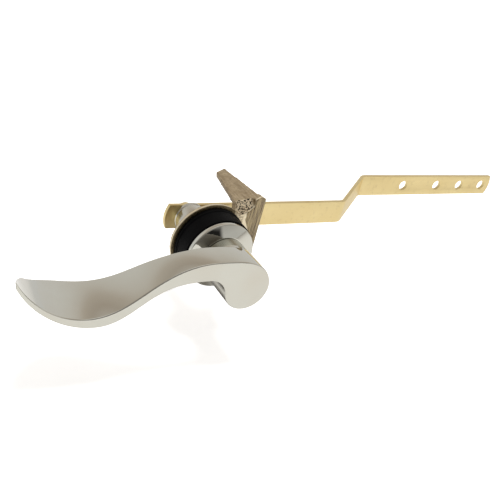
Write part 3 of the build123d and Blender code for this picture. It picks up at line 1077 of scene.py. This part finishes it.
def punch_tree():
    tree = bpy.data.node_groups.new("punched_strip", "GeometryNodeTree")
    tree.interface.new_socket(name="Strip", in_out="INPUT", socket_type="NodeSocketGeometry")
    identifiers = group_inputs(tree, {
        "Hole Radius": 0.003, "First Hole": ORIGIN, "Second Hole": ORIGIN, "Pitch": (0.02, 0.0, 0.0),
        "Square Size": (0.007, 0.01, 0.007), "Square Place": ORIGIN, "Finish": None,
    })
    tree.interface.new_socket(name="Geometry", in_out="OUTPUT", socket_type="NodeSocketGeometry")
    given = add(tree, "NodeGroupInput").outputs
    row = add(tree, "GeometryNodeMeshLine", {
        "Count": ROW_HOLES, "Start Location": given["Second Hole"], "Offset": given["Pitch"],
    })
    single = add(tree, "GeometryNodeMeshLine", {"Count": 1, "Start Location": given["First Hole"]})
    places = add(tree, "GeometryNodeJoinGeometry", {"Geometry": [row, single]})
    punch = add(tree, "GeometryNodeMeshCylinder", {
        "Vertices": PUNCH_SIDES, "Radius": given["Hole Radius"], "Depth": PUNCH_LENGTH,
    })
    lay = add(tree, "GeometryNodeTransform", {"Geometry": punch, "Rotation": QUARTER_TURN})
    stand = add(tree, "GeometryNodeInstanceOnPoints", {"Points": places, "Instance": lay})
    rounds = add(tree, "GeometryNodeRealizeInstances", {"Geometry": stand})
    block = add(tree, "GeometryNodeMeshCube", {"Size": given["Square Size"]})
    move = add(tree, "GeometryNodeTransform", {"Geometry": block, "Translation": given["Square Place"]})
    punches = add(tree, "GeometryNodeJoinGeometry", {"Geometry": [rounds, move]})
    meshes = {"Mesh 1": given["Strip"], "Mesh 2": punches}
    take = add(tree, "GeometryNodeMeshBoolean", meshes, operation="DIFFERENCE")
    paint_result(tree, take, given["Finish"])
    return tree, identifiers


punch_group, punch_inputs = punch_tree()
print("tree", punch_group.name, "with inputs", list(punch_inputs))

# %% [markdown]
# The tree punches the strip, and a bevel then eases every sharp edge, round the holes too, as tumbling
# does. The result is taken as a plain mesh, so no modifier is left on the piece.

# %% Punching the arm
HOLE_RADIUS = 3.0
FIRST_HOLE = 161.0
FIRST_PITCH = 27.7
CHAIN_PITCH = 19.7
SQUARE_HOLE = 7.06
TUMBLED_EDGE = 0.28
TUMBLED_STEPS = 3
TUMBLED_ANGLE = math.radians(50)
ARM_SHARP = 25

hole_y = far_middle * MM
run_tree(strip_piece, punch_group, punch_inputs, {
    "Hole Radius": HOLE_RADIUS * MM,
    "First Hole": (FIRST_HOLE * MM, hole_y, 0.0),
    "Second Hole": ((FIRST_HOLE + FIRST_PITCH) * MM, hole_y, 0.0),
    "Pitch": (CHAIN_PITCH * MM, 0.0, 0.0),
    "Square Size": (SQUARE_HOLE * MM, PUNCH_LENGTH, SQUARE_HOLE * MM),
    "Square Place": (0.0, middle * MM, 0.0),
    "Finish": rolled_brass,
})
eased = strip_piece.modifiers.new("eased_edges", "BEVEL")
eased.width = TUMBLED_EDGE * MM
eased.segments = TUMBLED_STEPS
eased.limit_method = "ANGLE"
eased.angle_limit = TUMBLED_ANGLE
arm_mesh = taken(strip_piece)
arm_mesh.name = "brass_arm"
coat(arm_mesh, ARM_SHARP)
new_piece("brass_arm", arm_mesh, "lever", "arm")

# %% [markdown]
# The nut keeps its CAD shape, but a sand casting has no sharp edges. A copy of the CAD mesh is
# remeshed into small even faces, smoothed to ease the edges, and roughened with noise. The noise is
# strongest in the hollow at the fin's root, where sand grains left the skin pitted, and the ground
# bevel has none.

# %% The cast nut
VOXEL = 0.42 * MM
EASING = 0.5
EASING_ROUNDS = 4
SKIN_ROUGHNESS = 0.07 * MM
POCKET_ROUGHNESS = 0.38 * MM
POCKET_PLACE = Vector((16.0 * MM, NUT_FRONT + 2.0 * MM, 16.0 * MM))
POCKET_REACH = 6.5 * MM
BEVEL_BAND = 0.3 * MM
COARSE_NOISE = 420.0
COARSE_SHARE = 0.5
FINE_NOISE = 1500.0
SAME_POINT = 1e-7
NUT_SHARP = 60

nut_bm = bmesh.new()
nut_bm.from_mesh(nodes["lock_nut"].data)
bmesh.ops.remove_doubles(nut_bm, verts=nut_bm.verts, dist=SAME_POINT)
nut_start = bpy.data.meshes.new("nut_start")
nut_bm.to_mesh(nut_start)
nut_bm.free()
nut_shape = placed("nut_shape", nut_start)
remesh = nut_shape.modifiers.new("even_faces", "REMESH")
remesh.mode = "VOXEL"
remesh.voxel_size = VOXEL
ease = nut_shape.modifiers.new("eased_edges", "SMOOTH")
ease.factor = EASING
ease.iterations = EASING_ROUNDS
nut_mesh = taken(nut_shape)
nut_mesh.name = "cast_nut"
nut_mesh.materials.clear()
outward = [vertex.normal.copy() for vertex in nut_mesh.vertices]
for vertex, out in zip(nut_mesh.vertices, outward):
    place = vertex.co.copy()
    pocket = max(0.0, 1.0 - (place - POCKET_PLACE).length / POCKET_REACH)
    on_bevel = abs(bevel_normal.dot(place) - bevel_offset) < BEVEL_BAND
    coarse = noise.noise(place * COARSE_NOISE)
    fine = noise.noise(place * FINE_NOISE)
    rough = 0.0 if on_bevel else SKIN_ROUGHNESS * (coarse + fine)
    vertex.co = place + out * (rough + POCKET_ROUGHNESS * pocket * (fine + COARSE_SHARE * coarse))
coat(nut_mesh, NUT_SHARP, cast_brass)
new_piece("cast_nut", nut_mesh, "tank_fitting", "lock_nut")

# %% [markdown]
# The small fasteners are right as they come from the CAD model, so they only get their finish.

# %% Finishes on the small fasteners
for node, material in (("set_screw", plain_steel), ("arm_washer", plain_steel), ("arm_screw", rolled_brass)):
    nodes[node].data.materials.clear()
    nodes[node].data.materials.append(material)
    print("painted", node)

# %% [markdown]
# The part stands above a matt white floor. For the camera the floor also glows, more so far off, so it
# runs out to plain white while a faint shadow stays under the part. Two things are for reflections
# only: the far floor glows evenly, so that the metal shows no hard horizon, and the floor is darker
# under the hub, as it is in a part's own shade.

# %% The floor
FLOOR_DROP = 0.027
FLOOR_SIZE = 8.0
FLOOR_WHITE = 0.9
SHADE_TONE = 0.42
SHADE_PLACE = (0.012, 0.022, 0.0)
SHADE_REACH = (0.02, 0.065)
FAR_BACK = (0.04, 0.3)
FAR_GLOW = 0.68
BACKDROP_REACH = (0.16, 0.5)
BACKDROP_GLOW = 0.61
BLACK = (0.0, 0.0, 0.0, 1.0)


def floor_finish():
    """A matt white floor, with a plain glow for the camera and, far off, for reflections."""
    material = bpy.data.materials.new("white_floor")
    material.use_nodes = True
    tree = material.node_tree
    tree.nodes.clear()
    rays = add(tree, "ShaderNodeLightPath").outputs
    place = add(tree, "ShaderNodeTexCoord").outputs["Object"]
    back = add(tree, "ShaderNodeSeparateXYZ", {"Vector": place}).outputs["Y"]
    far = span(tree, back, 0.0, 1.0, *FAR_BACK)
    mirrored = calc(tree, "MULTIPLY", far, rays["Is Glossy Ray"])
    reach = vector_calc(tree, "DISTANCE", place, SHADE_PLACE, "Value")
    shaded = span(tree, reach, SHADE_TONE, FLOOR_WHITE, *SHADE_REACH, "SMOOTHSTEP")
    white = mix(tree, "FLOAT", rays["Is Glossy Ray"], FLOOR_WHITE, shaded)
    tone = mix(tree, "RGBA", mirrored, white, BLACK)
    backdrop = span(tree, reach, BACKDROP_GLOW, 1.0, *BACKDROP_REACH)
    seen = calc(tree, "MULTIPLY", rays["Is Camera Ray"], backdrop)
    glow = calc(tree, "ADD", seen, calc(tree, "MULTIPLY", mirrored, FAR_GLOW))
    matt = add(tree, "ShaderNodeBsdfDiffuse", {"Color": tone})
    light = add(tree, "ShaderNodeEmission", {"Strength": glow})
    both = add(tree, "ShaderNodeAddShader", {0: matt, 1: light})
    add(tree, "ShaderNodeOutputMaterial", {"Surface": both})
    return material


floor_bm = bmesh.new()
bmesh.ops.create_grid(floor_bm, x_segments=1, y_segments=1, size=FLOOR_SIZE)
floor_mesh = bpy.data.meshes.new("floor")
floor_bm.to_mesh(floor_mesh)
floor_bm.free()
floor_mesh.materials.append(floor_finish())
floor = placed("floor", floor_mesh)
floor.location.z = cad_box[0].z - FLOOR_DROP
print("floor at", round(floor.location.z, 4))

# %% [markdown]
# Polished metal shows the room more than itself, so the room is part of the finish. Its walls are light
# at the floor, grey at mid height and light again overhead, which gives the handle's top its soft bands.
# The side towards the camera is dim, and dark near the floor, like the unlit side of a studio: the
# collar's cone mirrors it. The camera itself sees plain white.

# %% The room
TO_CAMERA = Vector((-0.555, -0.832, 0.0))
WALL_STEPS = (
    (0.0, 0.68, 0.99),
    (0.26, 0.68, 0.98),
    (0.46, 0.64, 0.96),
    (0.57, 0.57, 0.93),
    (0.64, 0.46, 0.88),
    (0.72, 0.40, 0.87),
    (0.8, 0.5, 0.93),
    (0.9, 0.75, 0.97),
    (1.0, 0.85, 0.99),
)
NEAR_SIDE = (-0.25, 0.3)
DIMMING = (0.15, 0.5)
DIMMED_HEIGHTS = (0.12, 0.45)
UNLIT_SIDE = (0.54, 0.65)
UNLIT_TOP = (0.17, 0.34)
DARKEST = 0.03
WHITE = (1.0, 1.0, 1.0, 1.0)

world = bpy.data.worlds.new("studio")
scene.world = world
world.use_nodes = True
room = world.node_tree
room.nodes.clear()
direction = add(room, "ShaderNodeTexCoord").outputs["Generated"]
height = add(room, "ShaderNodeSeparateXYZ", {"Vector": direction}).outputs["Z"]
toward = vector_calc(room, "DOT_PRODUCT", direction, TO_CAMERA, "Value")
walls = add(room, "ShaderNodeValToRGB", {"Fac": height})
stops = walls.color_ramp.elements
while len(stops) < len(WALL_STEPS):
    stops.new(0.5)
for stop, (level, grey, warm) in zip(stops, WALL_STEPS):
    stop.position = level
    stop.color = (grey * (2.0 - warm), grey, grey * warm, 1.0)
near_side = span(room, toward, 0.0, 1.0, *NEAR_SIDE, "SMOOTHSTEP")
dimming = calc(room, "MULTIPLY", near_side, span(room, height, *DIMMING, *DIMMED_HEIGHTS))
unlit = span(room, toward, 1.0, DARKEST, *UNLIT_SIDE, "SMOOTHSTEP")
above_unlit = span(room, height, 0.0, 1.0, *UNLIT_TOP, "SMOOTHSTEP")
low_light = calc(room, "MAXIMUM", unlit, above_unlit)
shade = calc(room, "MULTIPLY", calc(room, "SUBTRACT", 1.0, dimming), low_light)
dimmed = add(room, "ShaderNodeVectorMath", {"Vector": walls, "Scale": shade}, operation="SCALE")
camera_ray = add(room, "ShaderNodeLightPath").outputs["Is Camera Ray"]
background = add(room, "ShaderNodeBackground", {"Color": mix(room, "RGBA", camera_ray, dimmed, WHITE)})
add(room, "ShaderNodeOutputWorld", {"Surface": background})
print("room with", len(stops), "wall steps")

# %% [markdown]
# One round lamp high above the part lights the floor and gives the faint shadow. It is hidden from
# reflections, because a small bright disc would show as a hard spot on the polished nickel.

# %% The lamp
LAMP_PLACE = Vector((-0.05, -0.1, 1.5))
LAMP_SIZE = 0.45
LAMP_POWER = 14.6

lamp_data = bpy.data.lights.new("overhead", "AREA")
lamp_data.shape = "DISK"
lamp_data.size = LAMP_SIZE
lamp_data.energy = LAMP_POWER
lamp = placed("overhead", lamp_data)
lamp.location = LAMP_PLACE
lamp.rotation_euler = (-LAMP_PLACE).to_track_quat("-Z", "Y").to_euler()
lamp.visible_glossy = False
print("lamp of", LAMP_POWER, "watts")

# %% [markdown]
# The camera looks at the part from in front, from the left and from above, a little tilted. Its place
# and turn were fitted to the edges of the strip and to the rounds of the collar.

# %% Camera
CAMERA_PLACE = Vector((-176.86, -265.17, 176.43)) * MM
AZIMUTH = math.radians(36.102)
ELEVATION = math.radians(28.16)
ROLL = math.radians(15.756)
SENSOR = 36.0
FOCAL_SHARE = 803.47 / 500
NEAREST = 0.01

right = Vector((math.cos(AZIMUTH), -math.sin(AZIMUTH), 0.0))
up = Vector((
    math.sin(AZIMUTH) * math.sin(ELEVATION),
    math.cos(AZIMUTH) * math.sin(ELEVATION),
    math.cos(ELEVATION),
))
tilted_right = right * math.cos(ROLL) + up * math.sin(ROLL)
tilted_up = up * math.cos(ROLL) - right * math.sin(ROLL)
camera_data = bpy.data.cameras.new("camera")
camera_data.sensor_fit = "HORIZONTAL"
camera_data.sensor_width = SENSOR
camera_data.lens = SENSOR * FOCAL_SHARE
camera_data.clip_start = NEAREST
camera = placed("camera", camera_data)
facing = Matrix((tilted_right, tilted_up, tilted_right.cross(tilted_up))).transposed()
camera.matrix_world = Matrix.Translation(CAMERA_PLACE) @ facing.to_4x4()
scene.camera = camera
scene.view_settings.view_transform = "Standard"
print("lens", round(camera_data.lens, 2), "mm")
